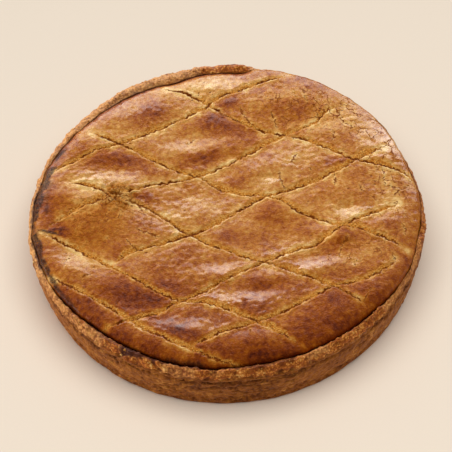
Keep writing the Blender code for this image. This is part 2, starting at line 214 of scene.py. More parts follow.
lid = {
    "cells": 226,  # faces along each side of the sheet that the lid is cut from
    "fineBeside": 1.0,  # how far from a crack the faces are finer
    "fineBurst": 1.2,  # share of the burst's reach in which they are
    "lidTop": 36.4,
    "sag": 2.4,
    "sagReach": 48.0,
    "roll": 13.0,  # width of the rounded edge
    "edgeStanding": 32.0,
    "edgeLapped": 34.0,
    "sideDrop": 1.6,
    "underside": 27.0,
    "puff": 1.0,  # rise between two scores
    "puffReach": 6.0,
    "lumps": (0.35, 11.0, 0),  # depth, size and layer of each kind of unevenness
    "blisters": (0.26, 5.0, 40),
    "wrinkles": (0.26, 1.9, 50),
    "vigour": (0.9, 26.0, 11),  # how blisters and wrinkles vary about the mean
    "meanVigour": 0.8,
    "straySize": 3.0,  # the strays bend the outlines of spots and places
    "strayLayers": (20, 30),
    "scoreDepth": 0.45,
    "nearWall": (0.8, 0.48, 9.0),  # width of a score's walls: mean, swing and length of the swing
    "farWall": (2.34, 4.16, 16.0),
    "nearBend": 0.7,  # under 1 the wall is hollow, and over 1 it bulges
    "farBend": 1.15,
    "nearLip": (0.3, 0.7, 0.8),  # the raised edges: rise, distance past the wall, and reach
    "farLip": (0.2, 0.9, 1.0),
    "scoreOpen": (0.62, 2.0, 6.0),  # how open the crack in a score is: mean, swing and length
    "scoreOpenLimits": (0.1, 1.2),
    "closedDepth": 0.7,  # share of its depth that a score has where its crack is closed
    "crackBreadth": 0.9,
    "scoreStrays": [(0.9, 5.5), (1.0, 2.1), (0.45, 1.0)],  # depth and length of the bends in a score
    "scoreTaper": 9.0,
    "taperedShare": 0.12,  # what is left of a score at its ends
    "shallowFrom": 92,  # scores grow shallow from this radius to the next one
    "shallowTo": 103,
    "shallowShare": 0.4,
    "crackReach": 2.5,  # how far from a crack its looks are kept
    "crackDepth": 0.15,
    "fullCrack": 0.32,  # half width of a crack that is fully open
    "crackTaper": 2.5,
    "pits": 250,
    "pitSeed": 11,
    "pitSizes": (0.2, 0.5),
    "pitDepth": 0.4,
    "pitStray": 0.3,
    "pitNarrow": 0.8,  # below 1, a pit is longer from left to right than from front to back
    "pittedShare": 0.6,  # of the pits, how many lie in the pitted places
    "pitted": [  # x, y, reach
        (-70, -10, 20), (-55, -5, 16), (-58, 5, 12), (50, 75, 25), (90, 12, 15), (-60, -50, 20),
        (-15, 90, 15),
    ],
    "burst": (-60.0, 10.0, 9.0),  # x, y, reach
    "shardSize": 5.2,
    "shardRise": 1.5,
    "shardGap": 0.9,
    "shardGrain": 0.3,
    "openGrain": (0.35, 2.4),  # depth and size of the crumb where the lid is open
    "wallGrain": (0.22, 1.1),  # and on the walls of the scores
    "creases": [(-99.0, -13.4, 7.0, 1.0, -20)],  # dark ones: x, y, length, breadth, direction
    "burntStray": 1.3,
    "burntShare": 1.6,
    "evenBrown": 0.42,
    "unevenBrown": [(0.16, 17.0, 70), (0.06, 7.0, 80)],
    "lightFallDrift": [(0.2, 0, -80), (-0.06, 20, 90)],  # painted shade and light: how much browner, from one y to another; browner to the front, paler to the back
    "edgeBrown": 0.05,
    # painted shade: the edge is browner towards the front
    "edgeBrownAndShadeDrift": [(0.11, 0, -90), (0.08, 20, 80)],
    "edgeReach": 9.0,
    "gapEdgeShade": (0.55, -20, 40),  # painted shadow at the very edge, beside a gap
    "gapEdgeShadeReach": 2.8,
    "paleMargin": (0.38, 1.1, 1.6),  # beside a score: how much paler, breadth, and fall
    "marginStray": (1.5, 7.0, 90),
    "paleHalo": (0.3, 1.1),  # beside a crack: how much paler, and fall
    "brownedShare": 0.65,
    "brownedStray": 4.0,
    "swellRise": 0.75,
    "swells": [  # x, y, reach along its length, reach across, direction, rise
        (-14, 52, 18, 6.5, 3, -1.5), (-14, 40, 14, 6, 5, 0.6), (-42, 72, 14, 9, 20, 0.7),
        (28, 76, 20, 8, -10, 0.9), (37, 60, 7, 4, 0, -0.6), (78, 52, 14, 12, 0, 0.6),
        (-64, 31, 17, 8, -12, -1.4), (-74, 50, 9, 7, 20, 0.5), (30, 31, 18, 7, 25, 0.9),
        (27, 19, 5, 4, 0, -0.6), (-2, 21, 5, 4, 0, -0.5), (-14, -4, 18, 8, -10, 1.0),
        (58, 8, 16, 6, 5, 0.5), (68, -5, 6, 4, 10, -0.8), (27, -25, 14, 6.5, 15, -1.3),
        (24, -4, 10, 7, 0, 0.7), (61, -25, 7, 6, 20, 2.4), (50, -37, 10, 4, 10, -0.6),
        (48, -47, 14, 4.5, 10, 0.6), (-45, -22, 10, 6, 25, 0.6), (-4, -50, 9, 5, 0, 0.7),
        (-8, -41, 8, 4, 0, -0.4), (20, -60, 10, 4.5, 10, -1.1), (0, -64, 8, 3.5, -10, -0.6),
        (-18, -86, 14, 5, -15, 0.8), (52, -66, 12, 5, 20, 0.6), (-84, -42, 10, 5, -30, 0.8),
        (-68, -54, 12, 5, -20, 0.6), (-44, -88, 10, 4, -30, 0.7), (14, -92, 16, 5, 0, 0.8),
        (-84, 10, 9, 5, 0, 0.6), (-60, 10, 9, 9, 0, 1.2), (84, -24, 8, 5, -20, 0.5),
    ],
    "facetLean": 0.15,
    "facetStray": 3.0,
    "facetWash": 0.75,  # how much a facet that leans back adds to the shine
    "washEven": 0.24,
    "edgeWash": (0.12, 0, 60),
    "edgeWashPlace": (4, 6),  # distance in from the edge, and reach
    # painted shade and light: a facet that leans to the front is browner, one that leans back more golden
    "leanShadeShare": 0.1,
    "leanLightShare": 1.5,
    "foldStray": 1.6,
    "facets": [  # x, y, reach along its length, reach across, direction, how far it leans back and shines
        (0, 91, 16, 6, 6, 0.75), (-53, 75, 17, 9, 30, 0.4), (93, 43, 19, 17, -54, 0.9),
        (-24, 43, 13, 7, 0, 0.5), (-64, 23, 23, 6, -6, 0.75), (-25, -4, 25, 14, -6, 0.6),
        (32, 27, 16, 13, 12, 0.6), (23, 15, 7, 6, 0, 0.6), (70, -9, 12, 5, 10, 0.75),
        (45, -45, 20, 6, 6, 0.9), (5, -63, 23, 8, 0, 1.0), (-24, -81, 23, 9, -10, 0.6),
        (-86, -34, 18, 11, -36, 0.6), (-4, -44, 11, 6, 12, 0.8), (35, -33, 20, 4, 18, 0.7),
        (89, -2, 14, 19, 0, 0.3), (40, 67, 20, 11, 0, -0.7), (16, 55, 18, 6, -12, -0.8),
        (1, 39, 22, 5, 6, -0.5), (30, -9, 13, 10, 0, -0.9), (63, -29, 16, 7, 18, -0.9),
        (-75, -17, 18, 19, 0, -0.8), (-51, -60, 20, 9, -30, -0.8), (19, -57, 13, 5, 0, -0.8),
        (52, -82, 28, 13, 30, -0.7), (65, 13, 17, 10, 0, -0.4), (-66, 37, 16, 6, -18, -0.5),
        (-59, -92, 22, 6, -42, -0.6), (4, -95, 17, 7, 0, -0.4),
    ],
    "folds": [  # x, y, length, breadth, direction, spacing, depth
        (-64, 36, 17, 8, -12, 5.6, 0.35), (76, -68, 24, 8, 44, 3.6, 0.2), (30, -33, 20, 6, 8, 4.0, 0.15),
        (42, -44, 16, 8, -18, 4.2, 0.15), (-14, -43, 20, 9, 22, 4.6, 0.2),
        (-40, -86, 16, 5, -36, 3.8, 0.2), (5, -68, 14, 6, -25, 3.6, 0.2), (-88, 32, 8, 12, 70, 4.0, 0.2),
    ],
    "scores": [  # direction, distance from the middle, and sideways sway at places along the cut
        (26.8, 70.7, [(-73, -0.5), (-42, 1.7), (-31, -0.9), (-5, -1.8), (25, -1.0), (37, 2.6), (46, 0.9),
                      (81, -1.2)]),
        (24.0, 31.2, [(-96, -1.1), (-73, 4.1), (-63, 3.8), (-31, 1.4), (-9, -3.7), (9, -4.7), (53, 0.1),
                      (70, 0.1), (85, 5.0), (94, 3.7)]),
        (25.4, -6.9, [(-74, 0.1), (-58, 1.5), (-33, -1.6), (-14, -2.2), (19, 2.3), (49, -1.8), (86, 0.8),
                      (98, 0.3)]),
        (25.3, -45.8, [(-98, 2.8), (-67, -2.2), (-58, -2.4), (-5, 0.7), (16, 0.0), (30, -2.4), (45, 0.8),
                       (58, 2.2), (85, 0.0)]),
        (23.8, -78.3, [(-58, 0.3), (-35, 0.6), (-19, -1.4), (-3, -1.5), (30, 1.0), (39, -1.5),
                       (57, -1.7), (67, 2.5)]),
        (-29.1, 62.2, [(-73, 1.5), (-53, 2.2), (-36, -1.7), (-11, -4.0), (16, 0.2), (52, -0.3), (77, 2.6),
                       (89, -1.6)]),
        (-28.0, 13.7, [(-95, 2.5), (-68, 0.9), (-41, -2.3), (-18, -0.9), (-12, -3.5), (3, -2.2),
                       (18, 2.7), (25, 2.9), (40, -0.8), (61, -1.0), (70, 1.5), (93, 1.6), (104, -0.7)]),
        (-30.8, -24.5, [(-87, -1.8), (-67, 1.7), (-60, -0.7), (-46, 2.9), (-29, 1.7), (-14, -1.7),
                        (6, -3.2), (70, 1.8), (100, -0.1)]),
        (-30.2, -65.1, [(-81, 2.3), (-42, -1.0), (1, -4.3), (10, -4.1), (22, 0.8), (53, 2.5), (79, 0.5)]),
        (-32.2, -91.2, [(-58, 1.8), (-35, 1.5), (2, -2.6), (21, -2.6), (50, 0.3), (62, 4.5)]),
    ],
    "cracks": [  # half width, then the points that the crack runs through
        (0.28, [(11, 72), (13, 66.5), (15.5, 61.5), (19, 57.5)]),
        (0.22, [(27.5, 70), (29.5, 66), (30.5, 61), (31.5, 55)]),
        (0.28, [(68.5, 66), (67, 61)]),
        (0.30, [(69, 60), (70.5, 57), (73, 54.8), (76, 53)]),
        (0.22, [(63.8, 51), (64, 48), (62.5, 43)]),
        (0.25, [(48, 79), (50, 74.5), (50.5, 72.5)]),
        (0.25, [(42.5, 84), (43, 80), (44, 78)]),
        (0.25, [(31, 23), (31.5, 18), (32.5, 14), (33.5, 10.5)]),
        (0.22, [(48, 25), (49.5, 21.5)]),
        (0.22, [(42, 36), (40, 32), (38.5, 29)]),
        (0.22, [(62, 19.5), (62, 14), (61.5, 10)]),
        (0.25, [(89, 21), (90, 16), (89.5, 12), (90, 8)]),
        (0.25, [(92, 8.5), (95, 7), (97.5, 6.3)]),
        (0.25, [(93.5, 0.5), (96, 3.5), (99, 5.5), (102.5, 8)]),
        (0.25, [(75.5, 9.5), (76.2, 7), (77.8, 4.8)]),
        (0.22, [(-16, 50.5), (-17.8, 48), (-20.5, 46.5)]),
        (0.28, [(-69, 15.5), (-66, 12), (-63.5, 7)]),
        (0.28, [(-50, 5), (-47.5, 1.5), (-46, -2)]),
        (0.25, [(-50, -14), (-45, -17), (-40, -19), (-38, -20.8)]),
        (0.22, [(-67, -19), (-65, -21.5)]),
        (0.22, [(-55.5, -21), (-53, -24.5), (-49.5, -28.5)]),
        (0.22, [(-86, -31), (-89, -36), (-88, -39.5)]),
        (0.30, [(-75, -45.2), (-78.5, -47)]),
        (0.28, [(84, -49.5), (87, -47.8), (90.3, -44.5), (89.7, -40)]),
        (0.22, [(70, -42.5), (68.5, -45.5), (68, -47.5)]),
        (0.25, [(66.5, -25.5), (64.5, -30), (62, -34), (60.5, -40)]),
        (0.25, [(76.5, -61), (74.5, -65), (72, -69)]),
        (0.22, [(10, -84), (10.3, -88.5)]),
        (0.25, [(96.5, -19), (98, -23.5), (96.8, -27.5)]),
    ],
    "browned": [  # x, y, reach along its length, reach across, direction, how much browner (below 0, paler)
        (-4, 66, 9, 5, 10, 0.75), (7, 54, 15, 9, -40, 0.35), (-13, 34, 9, 5, 15, 0.55),
        (-47, 9, 8, 3.5, -20, 0.65), (65, 29.5, 9, 4.5, 15, 0.55), (-25, -86, 12, 4.5, -35, 0.6),
        (-50, -62, 16, 11, 0, 0.3), (-25, -57, 14, 5, -25, 0.35), (-63, 37, 20, 8, -20, 0.5),
        (4, 76.5, 6, 4, 10, 0.6), (63, -21, 5, 4, 60, 0.5), (20, -56, 16, 6, 0, 0.15),
        (14, -71, 9, 6, -20, 0.25), (-42, 69, 9, 10, 0, 0.3), (42, 66, 14, 8, 0, 0.3),
        (22, 85, 8, 3, 20, 0.3), (-99, 4, 5, 12, 0, 0.4), (-94, -12, 7, 3, -20, 0.8),
        (92, -17, 7, 9, 0, 0.25), (51, 86, 4, 1.3, -35, 0.5), (15, 95.5, 5, 1.8, -25, 0.45),
        (3, -21, 8, 7, -20, 0.4), (76, 45, 13, 8, 0, 0.22), (99, 9, 5, 9, 0, 0.3),
        (14, -101, 4, 2, 0, 0.4), (-64, 23, 18, 5, -8, -0.2), (-48, 68, 20, 10, 25, 0.2),
        (-76, -36, 12, 6, -25, -0.3), (-82, 14, 8, 6, 0, -0.2), (-15, 92, 30, 7, 15, -0.25),
        (80, 70, 14, 12, 0, -0.15), (82, 0, 28, 70, 0, -0.1),
    ],
    "crazed": [  # where fine cracks craze the glaze: x, y, reach along its length, reach across, direction
        (92, 10, 14, 40, -8), (78, 60, 26, 22, -40), (40, 72, 22, 16, 0), (-58, 0, 26, 18, 0),
        (62, -38, 22, 10, 10),
    ],
    "matteStray": (0.35, 9.0, 7),
    "matte": [  # where the glaze has gone and the crumb is open: x, y, reach
        (-60, 8, 11), (-74, -10, 19), (-92, 4, 9),
    ],
}


def besideScore(score, x, y):  # place along a score, distance to one side of it, and distance past its end
    direction, offset, sway = score
    c, s = math.cos(math.radians(direction)), math.sin(math.radians(direction))
    along, across = x * c + y * s, y * c - x * s
    places, values = zip(*sway)
    nearest = np.clip(along, places[0], places[-1])
    return nearest, across - offset - curveThrough(places, values, nearest), along - nearest


def strayAlong(along, size, row):  # unevenness along a line, read from a fine table
    end = cake["meanRadius"] + 5
    steps = np.arange(-end, end, 0.25)
    table = [noise.noise(Vector((step / size, row * 3.7, size))) for step in steps]  # one for each score
    return np.interp(along, steps, table)


def varied(kind, along, row):  # a value that swings about its mean along a score
    mean, swing, length = kind
    return mean + swing * strayAlong(along, length, row)


def lipRise(kind, past):  # the raised edge of a score
    rise, place, reach = kind
    return rise * hump(past - place, reach)


def cutScores(x, y):  # the scores of both directions, with their depth, walls, lips and cracks
    cut = {name: np.zeros(x.shape) for name in ("depth", "pale", "lip", "openRising", "openFalling")}
    cut.update({name: np.full(x.shape, farAway) for name in ("gap", "asideRising", "asideFalling")})
    shallow = smoothStep(lid["shallowTo"], lid["shallowFrom"], np.hypot(x, y))
    shallow = lid["shallowShare"] + (1 - lid["shallowShare"]) * shallow
    for row, score in enumerate(lid["scores"]):
        along, aside, past = besideScore(score, x, y)
        cut["gap"] = np.minimum(cut["gap"], np.hypot(aside, past))
        start, end = score[2][0][0], score[2][-1][0]
        fade = np.clip(np.minimum(along - start, end - along) / lid["scoreTaper"], lid["taperedShare"], 1)
        for stray, size in lid["scoreStrays"]:
            aside = aside + stray * strayAlong(along, size, row)
        far = varied(lid["farWall"], along, row) * fade * shallow
        near = varied(lid["nearWall"], along, row) * fade
        share = np.where(aside > 0, aside / far, -aside / near)
        share = np.clip(np.hypot(share, past / near), 0, 1)
        wall = (1 - share) ** np.where(aside > 0, lid["farBend"], lid["nearBend"])
        openness = np.clip(varied(lid["scoreOpen"], along, row), *lid["scoreOpenLimits"])
        openness = openness * fade * (np.abs(past) < 1)
        crack = np.clip(1 - np.hypot(aside, past) / lid["crackBreadth"], 0, 1)
        depth = lid["scoreDepth"] * fade * shallow * wall
        depth = depth * (lid["closedDepth"] + (1 - lid["closedDepth"]) * openness)
        depth += lid["crackDepth"] * openness * crack
        lips = lipRise(lid["nearLip"], -aside - near) + lipRise(lid["farLip"], aside - far)
        cut["depth"] = np.maximum(cut["depth"], depth)
        cut["pale"] = np.maximum(cut["pale"], smoothStep(0.02, 0.4, wall) * smoothStep(0.0, 0.5, fade))
        cut["lip"] = np.maximum(cut["lip"], lips * fade * (np.abs(past) < 0.5))
        family = "Rising" if score[0] > 0 else "Falling"
        closer = np.abs(aside) < np.abs(cut["aside" + family])
        cut["aside" + family] = np.where(closer, aside, cut["aside" + family])
        openness = openness * np.clip((lid["crackReach"] - np.abs(aside)) * 2, 0, 1)
        cut["open" + family] = np.where(closer, openness, cut["open" + family])
    return cut


def besideLine(points, x, y):  # distance to one side of a line of points, from it, and from its nearer end
    away, aside = np.full(x.shape, farAway), np.full(x.shape, farAway)
    toEnd, length = np.zeros(x.shape), 0.0
    total = sum(math.dist(a, b) for a, b in zip(points, points[1:]))
    for (ax, ay), (bx, by) in zip(points, points[1:]):
        run = math.dist((ax, ay), (bx, by))
        share = np.clip(((x - ax) * (bx - ax) + (y - ay) * (by - ay)) / run**2, 0, 1)
        here = np.hypot(x - ax - share * (bx - ax), y - ay - share * (by - ay))
        side = ((x - ax) * (by - ay) - (y - ay) * (bx - ax)) / run
        nearer = here < away
        place = length + share * run
        away, aside = np.where(nearer, here, away), np.where(nearer, side, aside)
        toEnd = np.where(nearer, np.minimum(place, total - place), toEnd)
        length += run
    return aside, away, toEnd


def openCracks(x, y):  # distance to one side of the nearest crack, and how open it is
    nearest, aside = np.full(x.shape, farAway), np.full(x.shape, farAway)
    openness = np.zeros(x.shape)
    for halfWidth, points in lid["cracks"]:
        side, away, toEnd = besideLine(points, x, y)
        closer = away < nearest
        width = halfWidth / lid["fullCrack"] * np.clip(0.25 + toEnd / lid["crackTaper"], 0, 1)
        width = width * np.clip((lid["crackReach"] - away) * 2, 0, 1)
        width = width * (away < np.abs(side) + 0.6)  # it doesn't run on past its ends
        nearest = np.where(closer, away, nearest)
        aside, openness = np.where(closer, side, aside), np.where(closer, width, openness)
    return aside, openness


def spread(place, x, y):  # 1 in the middle of a long soft spot, falling to 0 round it
    middleX, middleY, length, breadth, direction = place
    c, s = math.cos(math.radians(direction)), math.sin(math.radians(direction))
    along, across = (x - middleX) * c + (y - middleY) * s, (y - middleY) * c - (x - middleX) * s
    return hump(along, length) * hump(across, breadth)


def foldAcross(fold, x, y, stray):  # round folds side by side, with narrow creases between them
    *place, spacing, depth = fold
    direction = math.radians(place[4])
    across = y * math.cos(direction) - x * math.sin(direction) + lid["foldStray"] * stray
    return depth * spread(place, x, y) * (np.abs(np.sin(math.pi * across / spacing)) - 0.6)


def wornPlaces(x, y):  # where the glaze has gone, and where the lid has burst
    matte = np.zeros(x.shape)
    for middleX, middleY, reach in lid["matte"]:
        away = np.hypot(x - middleX, y - middleY) / reach + uneven(lid["matteStray"], x, y)
        matte = np.maximum(matte, smoothStep(1.25, 0.55, away))
    burstX, burstY, reach = lid["burst"]
    return matte, hump(np.hypot(x - burstX, y - burstY), reach)


def tornPlates(x, y, burst):  # the plates that the lid has broken into where it burst
    gaps, levels = np.zeros(x.shape), np.zeros(x.shape)
    torn = burst > 0.03
    gaps[torn], levels[torn] = shards(x[torn], y[torn], lid["shardSize"])
    return gaps, levels


def leanFacets(x, y, strayX, strayY):  # how the facets fall away and shine, with painted shade where they lean to the front and painted light where they lean back
    fall, washed = np.zeros(x.shape), np.full(x.shape, lid["washEven"])
    litLean, shadedLean = np.zeros(x.shape), np.zeros(x.shape)
    for *place, lean in lid["facets"]:
        share = lean * spread(place, x + lid["facetStray"] * strayX, y + lid["facetStray"] * strayY)
        fall += lid["facetLean"] * share * (y - place[1])
        washed += lid["facetWash"] * share
        litLean += np.maximum(share, 0)
        shadedLean += np.maximum(-share, 0)
    return fall, washed, lid["leanShadeShare"] * (shadedLean - lid["leanLightShare"] * litLean)


def puffLid(x, y, cut, strayX, strayY):  # height of the lid before it is cut and torn
    top = lid["lidTop"] - lid["sag"] * hump(np.hypot(x, y), lid["sagReach"])
    for *place, rise in lid["swells"]:
        top += lid["swellRise"] * rise * spread(place, x, y)
    top += lid["puff"] * (1 - np.exp(-cut["gap"] / lid["puffReach"])) + uneven(lid["lumps"], x, y)
    clear = (1 - cut["pale"]) * (1 - 0.5 * np.exp(-cut["gap"] / 2))  # smoother beside a score
    vigour = clear * (lid["meanVigour"] + uneven(lid["vigour"], x, y))
    top += vigour * (blisters(lid["blisters"], x + strayX, y + strayY) + uneven(lid["wrinkles"], x, y))
    for fold in lid["folds"]:
        top += clear * foldAcross(fold, x, y, strayX + strayY)
    return top


def prickPits(x, y, strayX, strayY):  # small holes, most of them in the pitted places
    pits = np.zeros(x.shape)
    draw = random.Random(lid["pitSeed"])
    wholeLid = (0, 0, 100)
    for _ in range(lid["pits"]):
        middle = draw.choice(lid["pitted"]) if draw.random() < lid["pittedShare"] else wholeLid
        turn, reach = draw.uniform(0, math.tau), middle[2] * math.sqrt(draw.random())
        pitX, pitY = middle[0] + reach * math.cos(turn), middle[1] + reach * math.sin(turn)
        size = draw.uniform(*lid["pitSizes"])
        awayX = (x - pitX) * lid["pitNarrow"] + lid["pitStray"] * strayX
        awayY = y - pitY + lid["pitStray"] * strayY
        away = np.hypot(awayX, awayY) / size
        pits = np.maximum(pits, np.clip(1.2 - away, 0, 1))
    return pits


def brownPlaces(x, y, strayX, strayY):  # the lid's even browning, the places that are browner or paler, and painted shade to the front and painted light to the back
    brown = lid["evenBrown"] + sum(uneven(kind, x, y) for kind in lid["unevenBrown"])
    for *place, more in lid["browned"]:
        bentX, bentY = x + lid["brownedStray"] * strayX, y + lid["brownedStray"] * strayY
        brown += lid["brownedShare"] * more * spread(place, bentX, bentY)
    # painted shade to the front and painted light to the back
    return brown + sum(drift(kind, y) for kind in lid["lightFallDrift"])


def brownEdge(y, inset, standing):  # the lid's edge is browner, with painted shade towards the front and a painted shadow beside a gap
    edge = lid["edgeBrown"] + sum(drift(kind, y) for kind in lid["edgeBrownAndShadeDrift"])
    # painted shadow beside a gap
    gapEdgeShade = drift(lid["gapEdgeShade"], y) * standing
    return edge * hump(inset, lid["edgeReach"]) + gapEdgeShade * hump(inset, lid["gapEdgeShadeReach"])


def paleBorders(x, y, gap, asideCrack, openCrack):  # the glaze is paler beside scores and cracks
    paler, breadth, fall = lid["paleMargin"]
    ragged = np.clip(0.8 + uneven(lid["marginStray"], x, y), 0.2, 1.3)
    pale = paler * ragged * np.exp(-np.maximum(gap - breadth, 0) / fall)
    paler, fall = lid["paleHalo"]
    return pale + paler * np.minimum(openCrack * 2, 1) * np.exp(-np.abs(asideCrack) / fall)


def burntLid(x, y, strayX, strayY):  # the char along the lid's edge, and in its dark creases
    burnt = np.minimum(lid["burntShare"] * ringPatches(cake["burnt"], x, y, lid["burntStray"]), 1)
    for crease in lid["creases"]:
        burnt = np.maximum(burnt, smoothStep(0.2, 0.6, spread(crease, x + strayX, y + strayY)))
    return burnt


def lidSurface(x, y):  # height of the lid, and what its glaze and colour follow
    angle = np.degrees(np.arctan2(y, x))
    inset = np.maximum(seamRadius(angle) - np.hypot(x, y), 0)
    roll = np.sqrt(1 - (1 - np.minimum(inset / lid["roll"], 1)) ** 2)
    standing = rimStanding(angle)
    edge = lid["edgeLapped"] + (lid["edgeStanding"] - lid["edgeLapped"]) * standing
    strays = [lumps(x, y, layer, lid["straySize"]) for layer in lid["strayLayers"]]
    cut = cutScores(x, y)
    asideCrack, openCrack = openCracks(x, y)
    matte, burst = wornPlaces(x, y)
    openness = np.clip(matte + burst, 0, 1)
    gaps, levels = tornPlates(x + lid["facetStray"] * strays[0], y + lid["facetStray"] * strays[1], burst)
    fall, washed, tone = leanFacets(x, y, *strays)

    grainDepth, grainSize = lid["openGrain"]
    rough = grains(x, y, 0, grainSize) - 0.7  # its mean is about 0
    plates = lid["shardRise"] * levels - lid["shardGap"] * gaps + lid["shardGrain"] * rough
    top = puffLid(x, y, cut, *strays) - fall + openness * grainDepth * rough + burst * plates
    grainDepth, grainSize = lid["wallGrain"]
    top += cut["pale"] * grainDepth * (grains(x, y, 5, grainSize) - 0.6)
    pits = np.maximum(prickPits(x, y, *strays), 0.7 * burst * gaps)
    crack = openCrack * np.clip(1 - np.abs(asideCrack) / 0.8, 0, 1)
    height = edge + (top - cut["depth"] + cut["lip"] - edge) * roll
    height -= (lid["crackDepth"] * crack + lid["pitDepth"] * pits) * np.minimum(roll * 1.5, 1)

    # tone is painted shade and light from how the facets lean
    brown = brownPlaces(x, y, *strays) + brownEdge(y, inset, standing) + tone
    brown -= paleBorders(x, y, cut["gap"], asideCrack, openCrack)
    washPlace, washReach = lid["edgeWashPlace"]
    washed += drift(lid["edgeWash"], y) * hump(inset - washPlace, washReach)
    looks = {
        "browned": np.clip(brown, 0, 1), "pale": cut["pale"] * (1 - 0.45 * burst), "matte": openness,
        "pits": pits, "burnt": burntLid(x, y, *strays), "asideCrack": asideCrack, "openCrack": openCrack,
        "washed": np.clip(washed, 0, 1),
        "crazed": np.minimum(sum(spread(place, x, y) for place in lid["crazed"]), 1),
    }
    looks.update({name: cut[name] for name in ("asideRising", "openRising", "asideFalling", "openFalling")})
    return height, looks


# Modelling steps

def pickOnly(piece):
    bpy.ops.object.select_all(action="DESELECT")
    piece.select_set(True)
    bpy.context.view_layer.objects.active = piece


def startEditing(piece, selectMode="VERT"):
    pickOnly(piece)
    bpy.ops.object.mode_set(mode="EDIT")
    bpy.ops.mesh.select_mode(type=selectMode)
    bpy.ops.mesh.select_all(action="DESELECT")


def stopEditing():
    bpy.ops.object.mode_set(mode="OBJECT")


def addSheet(name, columns, rows):  # a flat sheet of faces, from -1 to 1 both ways
    bpy.ops.object.select_all(action="DESELECT")
    bpy.ops.mesh.primitive_grid_add(x_subdivisions=columns, y_subdivisions=rows, size=2)
    piece = bpy.context.object
    piece.name = piece.data.name = name
    return piece


def readRows(items, name):
    values = np.empty(len(items) * 3)
    items.foreach_get(name, values)
    return values.reshape(-1, 3)


def pointsOf(piece):
    return readRows(piece.data.vertices, "co")


def normalsOf(piece):
    return readRows(piece.data.vertices, "normal")


def valuesOf(piece, name):
    values = np.empty(len(piece.data.vertices), np.float32)
    piece.data.attributes[name].data.foreach_get("value", values)
    return values


def movePoints(piece, points):
    piece.data.vertices.foreach_set("co", points.ravel())
    piece.data.update()


def keepInside(points):  # relief never stands out of the solid's box
    low, high = (np.array(corner) / mm for corner in cadBox)
    return np.clip(points, low + 0.01, high - 0.01)


def keepLooks(piece, looks):
    for name, values in looks.items():
        layer = piece.data.attributes.new(name, "FLOAT", "POINT")
        layer.data.foreach_set("value", np.asarray(values, np.float32))


def selectFaces(piece, chosen):  # needs face select mode, as the last thing before edit mode is used
    stopEditing()
    piece.data.polygons.foreach_set("select", chosen)
    bpy.ops.object.mode_set(mode="EDIT")


def dress(piece, material):
    piece.data.materials.append(material)
    pickOnly(piece)
    bpy.ops.object.shade_smooth()
    bpy.data.collections["cake"].objects.link(piece)
    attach(piece, "root")
    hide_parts("cake")


def rollOut(points):  # a square sheet to a round one with faces of the same size
    u, v = points[:, 0], points[:, 1]
    wide = np.abs(u) >= np.abs(v)
    reach = np.where(wide, u, v)
    over = np.where(reach == 0, 1, reach)
    turn = np.where(wide, math.pi / 4 * v / over, math.pi / 2 - math.pi / 4 * u / over)
    return reach * np.cos(turn), reach * np.sin(turn)


def makeLid(material):
    piece = addSheet("glazedLid", lid["cells"], lid["cells"])
    x, y = rollOut(pointsOf(piece))
    edge = seamRadius(np.degrees(np.arctan2(y, x)))
    movePoints(piece, np.stack([x * edge, y * edge, 0 * x], -1) * mm)

    x, y = (readRows(piece.data.polygons, "center") / mm)[:, :2].T  # finer faces along scores and cracks
    cut = cutScores(x, y)
    asideCrack, openCrack = openCracks(x, y)
    burstX, burstY, reach = lid["burst"]
    fine = (openCrack > 0.1) & (np.abs(asideCrack) < lid["fineBeside"])
    fine |= (cut["pale"] > 0.05) | (cut["lip"] > 0.12)
    fine |= np.hypot(x - burstX, y - burstY) < lid["fineBurst"] * reach
    startEditing(piece, "FACE")
    selectFaces(piece, fine)
    bpy.ops.mesh.subdivide(number_cuts=1)
    bpy.ops.mesh.select_mode(type="EDGE")
    bpy.ops.mesh.select_all(action="SELECT")
    bpy.ops.mesh.region_to_loop()
    for shrink in (0.995, 0.975):  # the lid's side, then its underside
        bpy.ops.mesh.extrude_region_move(TRANSFORM_OT_translate={"value": (0, 0, -mm)})
        bpy.ops.transform.resize(value=(shrink, shrink, 1), center_override=(0, 0, 0))
    bpy.ops.mesh.edge_face_add()
    bpy.ops.mesh.select_all(action="SELECT")
    bpy.ops.mesh.normals_make_consistent(inside=False)
    stopEditing()

    x, y, dropped = (pointsOf(piece) / mm).T
    height, looks = lidSurface(x, y)
    side, under = np.isclose(dropped, -1, atol=0.1), dropped < -1.5
    height = np.where(side, height - lid["sideDrop"], np.where(under, lid["underside"], height))
    movePoints(piece, keepInside(np.stack([x, y, height], -1)) * mm)
    keepLooks(piece, looks)
    dress(piece, material)
    print("lid:", len(piece.data.polygons), "faces")
    return piece


# Crust

